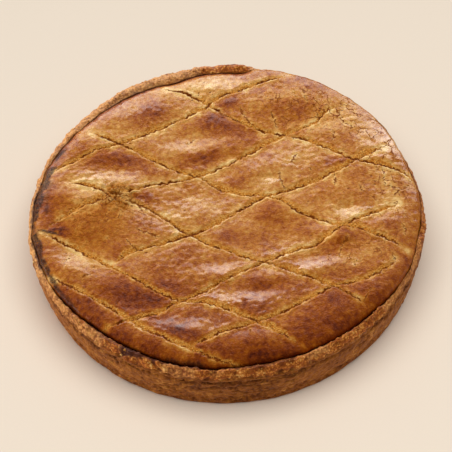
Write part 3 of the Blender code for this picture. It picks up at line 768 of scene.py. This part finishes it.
crust = {
    "around": 1040,  # faces round the cake
    "upright": 88,  # rows of faces from the ledge under the lid to the edge of the base
    "ledge": 29.6,
    "ledgeWidth": 4.0,
    "rim": [  # share of the rim's width, height where it stands, and where the lid laps over it
        (0.02, 30.6, 33.2), (0.06, 31.2, 33.6), (0.10, 32.1, 33.8), (0.18, 32.9, 33.7), (0.30, 33.6, 33.5),
        (0.47, 34.1, 32.9), (0.64, 33.6, 32.1), (0.82, 32.3, 31.2), (0.94, 30.8, 30.2), (1.0, 29.6, 29.5),
    ],
    "wall": [  # distance in from the shoulder, and height, with a crease near the top
        (0.0, 28.2), (0.2, 26.6), (1.0, 25.3), (1.35, 24.5), (0.9, 23.7), (0.45, 22.4), (0.75, 18.0),
        (1.3, 14.0), (2.0, 9.5), (2.7, 5.5), (3.4, 2.4), (3.9, 0.9), (4.5, 0.1), (4.8, 0.0),
    ],
    "rowSteps": [  # how many rows of faces lie between those rows
        2, 1.5, 5, 3, 2, 2, 3, 4, 3, 2, 2, 3, 2.5, 1.5, 1.5, 2.5, 7, 6, 7, 6, 5, 3, 2, 1,
    ],
    "shoulderRow": 10,
    "footRow": 22,
    "tornAngle": 84.5,  # the rim's torn end stands up in a dry flake
    "tornSpread": 4.5,
    "tornRise": 2.0,
    "lumps": (0.45, 9.0),  # depth and size of each kind of relief
    "knobs": (1.4, 3.8),
    "crumbs": (0.25, 1.9),
    "layers": (0.9, 2.6),
    "holes": (0.5, 2.3),
    "grit": (0.14, 0.9),
    "ragged": (2.6, 2.2),  # at the foot
    "wallKnobs": 0.35,  # how much of the rim's relief the wall has
    "wallCrumbs": 0.3,
    "wallGrit": 0.6,
    "rimHoles": 0.4,  # how much of the wall's holes the rim has
    "fullRim": 4.0,  # a rim of this width has all its relief
}


def crustProfile(angle):  # radius and height of each row of the crust, at each angle
    seam, shoulder, standing = seamRadius(angle), shoulderRadius(angle), rimStanding(angle)
    radii, heights = [seam - crust["ledgeWidth"]], [crust["ledge"] + 0 * angle]
    torn = crust["tornRise"] * hump(angle - crust["tornAngle"], crust["tornSpread"])
    for share, stood, lapped in crust["rim"]:
        radii.append(seam + (shoulder - seam) * share)
        heights.append(lapped + (stood - lapped) * standing + torn * share)
    for inset, height in crust["wall"]:
        radii.append(shoulder - inset)
        heights.append(height + 0 * angle)
    return np.array(radii), np.array(heights)


def crustRelief(x, y, z, row):  # how far each point of the crust moves out, and what its colour follows
    shoulder, foot = crust["shoulderRow"], crust["footRow"]
    # how much each row belongs to the rim, to the wall and to the edge of the foot
    rim = smoothStep(3.0, 4.6, row) * smoothStep(shoulder + 1.6, shoulder - 0.2, row)
    wall = smoothStep(shoulder - 1, shoulder + 1, row) * smoothStep(foot + 0.2, foot - 2, row)
    edge = smoothStep(foot - 4, foot - 1.5, row) * smoothStep(foot + 0.2, foot - 1, row)
    angle = np.degrees(np.arctan2(y, x))
    rim = rim * np.clip(roundTheCake(cake["rimWidth"], angle) / crust["fullRim"], 0.25, 1)
    knobs = rim * roundTheCake(cake["rimKnobs"], angle)
    depth, size = crust["knobs"]
    knobbly = lumps(x, y, z, size) + 0.6 * lumps(x, y, z, size / 2) - 0.1
    move = depth * (knobs + crust["wallKnobs"] * wall) * knobbly
    depth, size = crust["crumbs"]
    patchy = np.clip(0.6 + 1.4 * lumps(x, y, z, 13.0), 0.1, 1.3)
    move += depth * patchy * (knobs + crust["wallCrumbs"] * wall) * (grains(x, y, z, size) - 0.85)
    depth, size = crust["layers"]
    layers = lumps(x / 4, y / 4, z, size) + 0.35 * lumps(x, y, z, size)
    where = lumps(x / 2, y / 2, z, 12.0) + (z - 17) / 26  # more of them high on the wall
    crease = wall * smoothStep(0.2, 0.02, np.abs(layers)) * smoothStep(-0.2, 0.15, where)
    move -= depth * crease
    depth, size = crust["holes"]
    hole = smoothStep(0.82, 0.97, grains(x / 1.5, y / 1.5, z, size))
    hole = hole * smoothStep(-0.1, 0.2, lumps(x, y, z, 8.0)) * (crust["rimHoles"] * knobs + wall)
    move -= depth * hole
    depth, size = crust["grit"]
    move += depth * (rim + crust["wallGrit"] * wall + edge) * (grains(x, y, z, size) - 0.8)
    depth, size = crust["ragged"]
    move += depth * edge * (np.minimum(lumps(x, y, z, size), 0.15) - 0.15)
    # painted shade: creases, holes and the rim's sunken places are darkened
    paintedHollowShade = np.clip(0.9 * crease + hole + rim * (-0.6 - move), 0, 1)
    # gap: painted shade on the ledge and the rim's inner side, down in the gap beside the lid's edge
    return move, {"rim": rim, "paintedHollowShade": paintedHollowShade, "gap": smoothStep(3.9, 3.1, row) * rimStanding(angle)}


def makeCrust(material):
    piece = addSheet("bakedCrust", crust["around"], crust["upright"])
    u, v = pointsOf(piece)[:, :2].T
    angles = np.arange(crust["around"] + 1) * 360 / crust["around"]
    column = np.rint((u + 1) / 2 * crust["around"]).astype(int)
    line = np.rint((1 - v) / 2 * crust["upright"]).astype(int)
    radii, heights = crustProfile(angles)
    steps = np.cumsum([0] + crust["rowSteps"])
    rows = np.interp(np.linspace(0, steps[-1], crust["upright"] + 1), steps, np.arange(len(steps)))
    radii = curveThrough(range(len(radii)), radii, rows)
    heights = curveThrough(range(len(heights)), heights, rows)
    radius, height, row = radii[line, column], heights[line, column], rows[line]
    c, s = np.cos(np.radians(angles[column])), np.sin(np.radians(angles[column]))
    depth, size = crust["lumps"]
    shoulder = crust["shoulderRow"]
    rim = smoothStep(1, 3, row) * smoothStep(shoulder + 2, shoulder, row)
    rise = rim * depth * lumps(c * radius, s * radius, -height, size)
    radius = radius + depth * lumps(c * radius, s * radius, height, size)
    movePoints(piece, np.stack([c * radius, s * radius, height + rise], -1) * mm)
    keepLooks(piece, {"row": row})

    startEditing(piece)
    bpy.ops.mesh.select_all(action="SELECT")
    bpy.ops.mesh.remove_doubles(threshold=0.02 * mm)  # joins the ends of the strip
    bpy.ops.mesh.fill_holes(sides=0)  # the base, and the ledge under the lid
    bpy.ops.mesh.select_all(action="SELECT")
    bpy.ops.mesh.normals_make_consistent(inside=False)
    stopEditing()

    points, row = pointsOf(piece) / mm, valuesOf(piece, "row")
    move, looks = crustRelief(*points.T, row)
    points = points + normalsOf(piece) * move[:, None]
    movePoints(piece, keepInside(points) * mm)
    for name, lastRow in (("burnt", shoulder), ("toastedAndShaded", shoulder + 1), ("paleAndLitRim", shoulder + 1)):
        looks[name] = ringPatches(cake[name], points[:, 0], points[:, 1]) * (row < lastRow)
    keepLooks(piece, looks)
    dress(piece, material)
    print("crust:", len(piece.data.polygons), "faces")
    return piece


# Loose crumbs

crumbs = {
    "seed": 5,
    "rim": (380, 0.22, 0.85),  # how many, and the sizes of the smallest and largest
    "scores": (1100, 0.16, 0.42),
    "burst": (90, 0.3, 0.8),
    "burstReach": 0.8,  # share of the burst's reach that they lie in
    "mostlySmall": 2.2,
    "stretch": (0.6, 1.2),
    "uneven": (0.8, 1.2),
    "sunk": 0.25,
}


def makeCrumbs(material, top, body):
    draw = random.Random(crumbs["seed"])
    bpy.ops.object.select_all(action="DESELECT")
    bpy.ops.mesh.primitive_ico_sphere_add(subdivisions=1, radius=1)
    piece = bpy.context.object
    shape = pointsOf(piece)
    corners = [tuple(face.vertices) for face in piece.data.polygons]
    points, faces, shades = [], [], []
    onTop = pointsOf(top) / mm
    burstX, burstY, reach = lid["burst"]
    nearBurst = np.hypot(onTop[:, 0] - burstX, onTop[:, 1] - burstY) < crumbs["burstReach"] * reach
    for name, carrier, chosen in (
            ("rim", body, valuesOf(body, "rim") > 0.5),
            ("scores", top, valuesOf(top, "pale") > 0.5),
            ("burst", top, nearBurst & (onTop[:, 2] > lid["edgeStanding"]))):
        ground, normals, places = pointsOf(carrier) / mm, normalsOf(carrier), np.flatnonzero(chosen)
        count, smallest, largest = crumbs[name]
        for _ in range(count):
            at = draw.choice(places)
            size = smallest * (largest / smallest) ** (draw.random() ** crumbs["mostlySmall"])
            axis = Vector([draw.gauss(0, 1) for _ in range(3)]).normalized()
            turn = Matrix.Rotation(draw.uniform(0, math.tau), 3, axis)
            stretch = [draw.uniform(*crumbs["stretch"]) for _ in range(3)]
            middle = Vector(ground[at]) - Vector(normals[at]) * size * crumbs["sunk"]
            first = len(points)
            for corner in shape:
                bent = Vector([a * b * draw.uniform(*crumbs["uneven"]) for a, b in zip(corner, stretch)])
                points.append((turn @ bent) * size + middle)
            faces += [[first + i for i in corner] for corner in corners]
            shades += [draw.random()] * len(shape)
    piece.data.clear_geometry()
    piece.data.from_pydata(keepInside(np.array(points)) * mm, [], faces)
    piece.name = piece.data.name = "looseCrumbs"
    keepLooks(piece, {"shade": shades})
    dress(piece, material)
    print("crumbs:", len(piece.data.polygons), "faces")


# Materials

def feed(tree, node, sockets):  # each socket gets a link or a plain value
    for socket, value in sockets.items():
        if isinstance(value, bpy.types.NodeSocket):
            tree.links.new(value, node.inputs[socket])
        else:
            node.inputs[socket].default_value = value


def addNode(tree, kind, sockets=None, **settings):
    node = tree.nodes.new(kind)
    for name, value in settings.items():
        setattr(node, name, value)
    feed(tree, node, sockets or {})
    return node


def attribute(tree, name):
    return addNode(tree, "ShaderNodeAttribute", attribute_name=name).outputs["Fac"]


def doMath(tree, operation, first, second=0.0, clamp=False):
    sockets = {0: first, 1: second}
    return addNode(tree, "ShaderNodeMath", sockets, operation=operation, use_clamp=clamp).outputs[0]


def times(tree, product, *others):  # all of them multiplied
    for value in others:
        product = doMath(tree, "MULTIPLY", product, value)
    return product


def addNoise(tree, place, size, detail=3.0, roughness=0.55, bend=0.0):  # size of its features in millimetres
    return addNode(tree, "ShaderNodeTexNoise", {
        "Vector": place, "Scale": 1 / (size * mm), "Detail": detail, "Roughness": roughness,
        "Distortion": bend}).outputs["Fac"]


def remap(tree, value, low, high, toLow=0.0, toHigh=1.0):
    sockets = {"Value": value, "From Min": low, "From Max": high, "To Min": toLow, "To Max": toHigh}
    return addNode(tree, "ShaderNodeMapRange", sockets).outputs["Result"]


def mixColour(tree, share, first, second, blend="MIX"):
    sockets = {0: share, 6: first, 7: second}
    return addNode(tree, "ShaderNodeMix", sockets, data_type="RGBA", blend_type=blend).outputs[2]


def colourRamp(tree, value, stops):
    node = addNode(tree, "ShaderNodeValToRGB", {"Fac": value})
    elements = node.color_ramp.elements
    while len(elements) < len(stops):
        elements.new(1.0)
    for element, (place, colour) in zip(elements, stops):
        element.position, element.color = place, colour
    return node.outputs["Color"]


def makeGroup(name, inputs, outputs):
    group = bpy.data.node_groups.new(name, "ShaderNodeTree")
    for socket, kind, value in inputs:
        made = group.interface.new_socket(socket, in_out="INPUT", socket_type=kind)
        if value is not None:
            made.default_value = value
    for socket, kind in outputs:
        group.interface.new_socket(socket, in_out="OUTPUT", socket_type=kind)
    return group, group.nodes.new("NodeGroupInput").outputs, group.nodes.new("NodeGroupOutput").inputs


def useGroup(tree, group, sockets):
    return addNode(tree, "ShaderNodeGroup", sockets, node_tree=group).outputs


def makeCrumbGrain():  # open crumb: a grainy height, and painted shade in the low places between the grains
    group, given, result = makeGroup(
        "crumbGrain",
        [("Vector", "NodeSocketVector", None), ("Size", "NodeSocketFloat", 1.0)],
        [("Height", "NodeSocketFloat"), ("GrainShade", "NodeSocketFloat")])
    scale = doMath(group, "DIVIDE", 1 / mm, given["Size"])
    warp = addNode(group, "ShaderNodeTexNoise", {"Vector": given["Vector"], "Scale": scale, "Detail": 4.0})
    cells = addNode(group, "ShaderNodeTexVoronoi", {"Vector": given["Vector"], "Scale": scale})
    height = doMath(group, "SUBTRACT", warp.outputs["Fac"], times(group, cells.outputs["Distance"], 0.6))
    group.links.new(height, result["Height"])
    group.links.new(remap(group, height, 0.32, 0.12), result["GrainShade"])
    return group


def makeCrack():  # a ragged thin line where the distance to one side of it is zero, and painted shade round it in the groove
    group, given, result = makeGroup(
        "raggedCrack",
        [("Vector", "NodeSocketVector", None), ("Aside", "NodeSocketFloat", 9.0),
         ("Openness", "NodeSocketFloat", 0.0), ("Half Width", "NodeSocketFloat", 0.3),
         ("Stray", "NodeSocketFloat", 1.0)],
        [("Mask", "NodeSocketFloat"), ("Shade", "NodeSocketFloat")])
    stray = remap(group, addNoise(group, given["Vector"], 1.8, 4.0, 0.75), 0.0, 1.0, -1.0, 1.0)
    aside = doMath(group, "ADD", given["Aside"], times(group, stray, given["Stray"]))
    aside = doMath(group, "ABSOLUTE", aside)
    broken = remap(group, addNoise(group, given["Vector"], 2.6, 3.0, 0.6), 0.36, 0.62, 0.1, 1.9)
    width = times(group, given["Half Width"], broken, given["Openness"])
    share = doMath(group, "DIVIDE", aside, doMath(group, "ADD", width, 0.001))
    mask = times(group, remap(group, share, 1.3, 0.6), remap(group, width, 0.02, 0.1))
    group.links.new(mask, result["Mask"])
    # Shade: painted shade in the groove beside the crack
    group.links.new(times(group, remap(group, aside, 1.3, 0.2), given["Openness"]), result["Shade"])
    return group


def makeMottle():  # browning that varies from place to place, finely and coarsely, about 0
    group, given, result = makeGroup(
        "mottledBrowning",
        [("Vector", "NodeSocketVector", None), ("Fine", "NodeSocketFloat", 0.2),
         ("Coarse", "NodeSocketFloat", 0.2)],
        [("Change", "NodeSocketFloat")])
    fine = doMath(group, "SUBTRACT", addNoise(group, given["Vector"], 2.3, 2.0, 0.5), 0.5)
    coarse = doMath(group, "SUBTRACT", addNoise(group, given["Vector"], 9, 3.0, 0.6, 0.6), 0.5)
    change = doMath(group, "ADD", times(group, fine, given["Fine"]), times(group, coarse, given["Coarse"]))
    group.links.new(change, result["Change"])
    return group


def newMaterial(name):
    material = bpy.data.materials.new(name)
    material.use_nodes = True
    tree = material.node_tree
    place = addNode(tree, "ShaderNodeTexCoord").outputs["Object"]
    return material, tree, tree.nodes["Principled BSDF"], place


def addMottle(tree, place, groups, look):
    sockets = {"Vector": place, "Fine": look["fineMottle"], "Coarse": look["coarseMottle"]}
    return useGroup(tree, groups["mottle"], sockets)["Change"]


def addGrain(tree, place, groups, look):
    return useGroup(tree, groups["grain"], {"Vector": place, "Size": look["grainSize"]})


def addBump(tree, height):  # height in millimetres
    sockets = {"Strength": 1.0, "Distance": mm, "Height": height}
    return addNode(tree, "ShaderNodeBump", sockets).outputs["Normal"]


glaze = {
    "bake": [
        (0.0, paint(253, 206, 126)), (0.2, paint(227, 162, 76)), (0.42, paint(198, 119, 30)),
        (0.62, paint(168, 83, 4)), (0.82, paint(132, 54, 4)), (1.0, paint(92, 30, 4)),
    ],
    "crumb": [
        (0.0, paint(198, 114, 26)), (0.16, paint(226, 146, 50)), (0.34, paint(240, 172, 78)),
        (0.55, paint(250, 200, 114)),
    ],
    "openCrumb": paint(208, 122, 24),
    "crackBrown": paint(132, 60, 0),
    # painted shade in the grooves beside the cracks
    "grooveShadeBrown": paint(168, 90, 16),
    "fineCrackBrown": paint(150, 74, 4),
    "grooveShadeShare": 0.5,
    "char": paint(40, 20, 17),
    "crackHalfWidth": 0.46,
    "scoreStray": 1.6,
    "crackStray": 2.4,
    "crazing": (6.5, 0.27),  # size of the plates between hairline cracks, and the cracks' width
    "crazedPatches": (5.0, 0.47, 0.54),  # size of its patches, and the levels of noise they fade in at
    "crazeBend": 0.0025,
    "fineMottle": 0.65,
    "coarseMottle": 0.5,
    "grainSize": 0.9,
    "specular": 0.08,
    "roughness": 0.45,
    "bareRoughness": 0.75,
    "coat": 1.0,
    "charCoat": 0.05,
    "unwashedCoat": 0.03,
    "coatBend": 1.55,
    "coatRoughness": 0.16,
    "skin": [(1.0, 0.6, 0.6), (2.6, 0.5, 0.5)],  # size, depth and roughness of the small bumps
    "grainDepth": 0.8,
    "crackDepth": 0.07,
}


def crazing(tree, place):  # hairline cracks round small plates, in patches
    size, width = glaze["crazing"]
    bent = addNode(tree, "ShaderNodeTexNoise", {"Vector": place, "Scale": 1 / (3 * mm), "Detail": 3.0})
    sockets = {0: glaze["crazeBend"], 4: place, 5: bent.outputs["Color"]}
    bent = addNode(tree, "ShaderNodeMix", sockets, data_type="VECTOR").outputs[1]
    sockets = {"Vector": bent, "Scale": 1 / (size * mm)}
    plates = addNode(tree, "ShaderNodeTexVoronoi", sockets, feature="DISTANCE_TO_EDGE")
    hairline = remap(tree, plates.outputs["Distance"], width / size, 0.3 * width / size)
    patchSize, low, high = glaze["crazedPatches"]
    patchy = remap(tree, addNoise(tree, place, patchSize, 2.0), low, high)
    return times(tree, hairline, patchy, attribute(tree, "crazed"))


def glazeCracks(tree, place, group):  # the cracks in the scores, the painted shade beside them in the grooves, and the finer cracks
    masks, shades = {}, {}
    for name in ("Rising", "Falling", "Crack"):
        line = useGroup(tree, group, {
            "Vector": place, "Aside": attribute(tree, "aside" + name),
            "Openness": attribute(tree, "open" + name), "Half Width": glaze["crackHalfWidth"],
            "Stray": glaze["crackStray"] if name == "Crack" else glaze["scoreStray"]})
        masks[name], shades[name] = line["Mask"], line["Shade"]
    scored = doMath(tree, "MAXIMUM", masks["Rising"], masks["Falling"], clamp=True)
    shaded = doMath(tree, "MAXIMUM", shades["Rising"], shades["Falling"], clamp=True)
    return scored, shaded, doMath(tree, "MAXIMUM", masks["Crack"], crazing(tree, place), clamp=True)


def glazeMaterial(groups):
    material, tree, shader, place = newMaterial("glazedLid")
    look = glaze
    grain = addGrain(tree, place, groups, look)["Height"]
    pale, matte, washed = (attribute(tree, name) for name in ("pale", "matte", "washed"))
    scored, shaded, fine = glazeCracks(tree, place, groups["crack"])
    scored = doMath(tree, "MAXIMUM", attribute(tree, "pits"), scored, clamp=True)
    brown = doMath(tree, "ADD", attribute(tree, "browned"), addMottle(tree, place, groups, look), clamp=True)
    openness = times(tree, matte, remap(tree, grain, 0.2, 0.5, 0.0, 0.45))
    char = times(tree, attribute(tree, "burnt"), remap(tree, grain, 0.1, 0.4, 0.7, 1.0))
    colour = colourRamp(tree, brown, look["bake"])
    for share, over in (
            (openness, look["openCrumb"]),
            (pale, colourRamp(tree, grain, look["crumb"])),
            # painted shade in the grooves beside the cracks
            (times(tree, shaded, look["grooveShadeShare"]), look["grooveShadeBrown"]),
            (remap(tree, fine, 0.05, 0.8), look["fineCrackBrown"]),
            (remap(tree, scored, 0.05, 0.8), look["crackBrown"]),
            (char, look["char"])):
        colour = mixColour(tree, share, colour, over)

    cracked = doMath(tree, "MAXIMUM", scored, fine)
    bareness = doMath(tree, "MAXIMUM", pale, times(tree, matte, 0.8))
    bareness = doMath(tree, "MAXIMUM", bareness, cracked, clamp=True)
    coat = times(
        tree, remap(tree, bareness, 0.0, 0.8, look["coat"], 0.0),
        remap(tree, addNoise(tree, place, 3.0, 3.0, 0.6), 0.35, 0.6, 0.35, 1.0),
        remap(tree, char, 0.0, 1.0, 1.0, look["charCoat"]),
        remap(tree, washed, 0.0, 1.0, look["unwashedCoat"], 1.0))

    skin = 0.0
    for size, depth, roughness in look["skin"]:
        skin = doMath(tree, "ADD", skin, times(tree, addNoise(tree, place, size, 2.0, roughness), depth))
    skin = times(tree, skin, remap(tree, washed, 0.0, 0.9, 1.0, 1.1))
    height = doMath(tree, "ADD", skin, times(tree, grain, bareness, look["grainDepth"]))
    height = doMath(tree, "SUBTRACT", height, times(tree, cracked, look["crackDepth"]))
    feed(tree, shader, {
        "Base Color": colour, "Normal": addBump(tree, height), "Coat Weight": coat,
        "Roughness": remap(tree, bareness, 0.0, 1.0, look["roughness"], look["bareRoughness"]),
        "Coat Roughness": look["coatRoughness"], "Coat IOR": look["coatBend"],
        "Specular IOR Level": look["specular"]})
    return material


pastry = {
    "wall": [
        (0.0, paint(92, 40, 3)), (0.35, paint(142, 75, 12)), (0.7, paint(179, 106, 28)),
        (1.0, paint(218, 150, 66)),
    ],
    "rimCrumb": [
        (0.0, paint(138, 62, 10)), (0.3, paint(192, 103, 28)), (0.6, paint(236, 152, 62)),
        (0.9, paint(255, 202, 118)),
    ],
    "looseCrumb": [(0.0, paint(166, 96, 32)), (0.4, paint(204, 136, 54)), (1.0, paint(234, 184, 104))],
    # toasted crust, and painted shade on the inner half of the front rim
    "toastedAndShadedRim": paint(102, 42, 8),
    # paler dry crumb, and painted light on the rim's inner side at the back
    "paleAndLitCrumb": paint(246, 184, 112),
    # painted shade, for hollows and for the low places between grains
    "hollowShadeBrown": paint(104, 50, 12),
    # painted shade for the gap under the lid's edge
    "gapShadeBrown": paint(92, 42, 8),
    "char": paint(76, 36, 30),
    "hollowShadeShare": 0.75,
    "paleAndLitShare": 0.65,
    "grainShadeShare": 0.14,
    "toastedAndShadedShare": 0.92,
    "fineMottle": 0.6,
    "coarseMottle": 1.2,
    "grainSize": 1.3,
    "grainDepth": 0.45,
    "streakStretch": (0.38, 0.38, 1.0),  # long and level round the wall
    "streakSize": 0.9,
    "streakDepth": 0.3,
    "specular": 0.2,
    "roughness": 0.6,
}


def crustMaterial(groups):
    material, tree, shader, place = newMaterial("bakedCrust")
    look = pastry
    change, grain = addMottle(tree, place, groups, look), addGrain(tree, place, groups, look)
    height = grain["Height"]
    flat = addNode(tree, "ShaderNodeMapping", {"Vector": place, "Scale": look["streakStretch"]}).outputs[0]
    streaks = addNoise(tree, flat, look["streakSize"], 4.0, 0.65)
    tone = doMath(tree, "ADD", remap(tree, streaks, 0.3, 0.7, 0.22, 0.8), change, clamp=True)
    light = doMath(tree, "ADD", remap(tree, height, 0.1, 0.6, 0.2, 0.8), change, clamp=True)
    # paler dry crumb, and painted light on the rim's inner side at the back
    dryAndLit = remap(tree, doMath(tree, "ADD", height, change), -0.35, 0.25)
    # toasted crust, and painted shade on the inner half of the front rim
    toastedAndShaded = attribute(tree, "toastedAndShaded")
    toast = doMath(tree, "ADD", toastedAndShaded, change, clamp=True)
    char = remap(tree, height, 0.1, 0.4, 0.75, 1.0)
    colour = colourRamp(tree, tone, look["wall"])
    for share, over in (
            (attribute(tree, "rim"), colourRamp(tree, light, look["rimCrumb"])),
            (times(tree, dryAndLit, attribute(tree, "paleAndLitRim"), look["paleAndLitShare"]), look["paleAndLitCrumb"]),
            (times(tree, toast, toastedAndShaded, look["toastedAndShadedShare"]), look["toastedAndShadedRim"]),
            # painted shade in the creases, holes and sunken places
            (times(tree, attribute(tree, "paintedHollowShade"), look["hollowShadeShare"]), look["hollowShadeBrown"]),
            # painted shade between the grains
            (times(tree, grain["GrainShade"], look["grainShadeShare"]), look["hollowShadeBrown"]),
            # painted shade in the gap between the rim and the lid
            (attribute(tree, "gap"), look["gapShadeBrown"]),
            (times(tree, attribute(tree, "burnt"), char), look["char"])):
        colour = mixColour(tree, share, colour, over)
    rough = doMath(
        tree, "ADD", times(tree, height, look["grainDepth"]), times(tree, streaks, look["streakDepth"]))
    feed(tree, shader, {
        "Base Color": colour, "Normal": addBump(tree, rough), "Roughness": look["roughness"],
        "Specular IOR Level": look["specular"]})
    return material


def crumbMaterial(groups):
    material, tree, shader, place = newMaterial("looseCrumbs")
    look = pastry
    grain = addGrain(tree, place, groups, look)
    colour = colourRamp(tree, attribute(tree, "shade"), look["looseCrumb"])
    # painted shade in the low places between the grains
    paintedGrainShade = times(tree, grain["GrainShade"], look["grainShadeShare"])
    feed(tree, shader, {
        "Base Color": mixColour(tree, paintedGrainShade, colour, look["hollowShadeBrown"]),
        "Normal": addBump(tree, times(tree, grain["Height"], look["grainDepth"])),
        "Roughness": look["roughness"], "Specular IOR Level": look["specular"]})
    return material


# Studio

studio = {
    "floorSize": 6.0,  # metres, as are the lights' places and sizes
    "floorColour": paint(237, 222, 203),
    "floorRoughness": 0.9,
    "floorSpecular": 0.2,
    "fibre": (1.2, 0.985, 1.015),  # its size in millimetres, and how it darkens and lightens the paper
    "skyColour": (1.0, 1.0, 1.0, 1.0),
    "skyStrength": 0.28,
    "skyShines": False,
    "lightAim": (0, 0, 0),
    "lights": [  # place, size, power, whether it makes highlights, whether it lights surfaces, and which
        ((0.0, 0.6, 1.3), (1.6, 1.4), 8.8, False, True, "cake"),
        ((0.0, 1.25, 0.62), (2.4, 0.9), 32.0, True, False, "cake"),
        ((0.0, 1.25, 0.60), (2.4, 0.9), 7.4, True, True, "cake"),
        ((-1.75, 0.1, 0.42), (1.2, 0.8), 17.5, True, True, "cake"),
        ((1.8, 0.1, 0.7), (1.2, 1.0), 4.5, True, True, "cake"),
        ((0.0, -0.13, 1.45), (1.7, 1.3), 21.8, False, True, "floor"),
    ],
}


def makeFloor():
    bpy.ops.object.select_all(action="DESELECT")
    bpy.ops.mesh.primitive_plane_add(size=studio["floorSize"])
    floor = bpy.context.object
    floor.name = floor.data.name = "studioFloor"
    material, tree, shader, place = newMaterial("palePaper")
    size, darkest, lightest = studio["fibre"]
    fibre = remap(tree, addNoise(tree, place, size), 0.0, 1.0, darkest, lightest)
    fibre = addNode(tree, "ShaderNodeCombineColor", {0: fibre, 1: fibre, 2: fibre}).outputs[0]
    feed(tree, shader, {
        "Base Color": mixColour(tree, 1.0, studio["floorColour"], fibre, "MULTIPLY"),
        "Roughness": studio["floorRoughness"], "Specular IOR Level": studio["floorSpecular"]})
    floor.data.materials.append(material)
    bpy.data.collections["floor"].objects.link(floor)


def makeLights():
    world = bpy.data.worlds.new("studio")
    bpy.context.scene.world = world
    world.use_nodes = True
    background = world.node_tree.nodes["Background"]
    background.inputs["Color"].default_value = studio["skyColour"]
    background.inputs["Strength"].default_value = studio["skyStrength"]
    world.cycles_visibility.glossy = studio["skyShines"]
    for name in ("cake", "floor"):
        bpy.data.collections.new(name)
    for place, size, power, shines, spreads, lit in studio["lights"]:
        bpy.ops.object.light_add(type="AREA", location=place)
        light = bpy.context.object
        light.data.shape = "RECTANGLE"
        light.data.size, light.data.size_y = size
        light.data.energy = power
        light.visible_glossy, light.visible_diffuse = shines, spreads
        light.light_linking.receiver_collection = bpy.data.collections[lit]
        aim = Vector(studio["lightAim"]) - Vector(place)
        light.rotation_euler = aim.to_track_quat("-Z", "Y").to_euler()


camera = {
    "target": (0, -1.2, 34),
    "targetPixel": (225.6, 209.3),
    "pictureSize": 452,
    "distance": 1.0,  # metres
    "elevation": 50.8,
    "roll": 2.56,
    "focalPixels": 1795,
    "sensor": 36,
    "clipStart": 0.05,  # metres
}


def makeCamera():
    view = camera
    elevation, roll = math.radians(view["elevation"]), math.radians(view["roll"])
    forward = Vector((0, math.cos(elevation), -math.sin(elevation)))
    right, up = Vector((1, 0, 0)), Vector((0, math.sin(elevation), math.cos(elevation)))
    right, up = right * math.cos(roll) - up * math.sin(roll), right * math.sin(roll) + up * math.cos(roll)
    target = Vector(view["target"]) * mm
    place = target - forward * view["distance"]
    middle = view["pictureSize"] / 2
    targetRight, targetUp = view["targetPixel"][0] - middle, middle - view["targetPixel"][1]
    forward = (forward - (right * targetRight + up * targetUp) / view["focalPixels"]).normalized()
    right = (right - forward * right.dot(forward)).normalized()
    up = right.cross(forward)
    bpy.ops.object.camera_add(location=place)
    body = bpy.context.object
    body.rotation_euler = Matrix((right, up, -forward)).transposed().to_euler()
    body.data.sensor_width = view["sensor"]
    body.data.lens = view["focalPixels"] / view["pictureSize"] * view["sensor"]
    body.data.clip_start = view["clipStart"]
    bpy.context.scene.camera = body
    bpy.context.scene.view_settings.view_transform = "Standard"


makeCamera()
makeLights()
makeFloor()
print("studio: ready")
groups = {"grain": makeCrumbGrain(), "mottle": makeMottle(), "crack": makeCrack()}
top = makeLid(glazeMaterial(groups))
body = makeCrust(crustMaterial(groups))
makeCrumbs(crumbMaterial(groups), top, body)
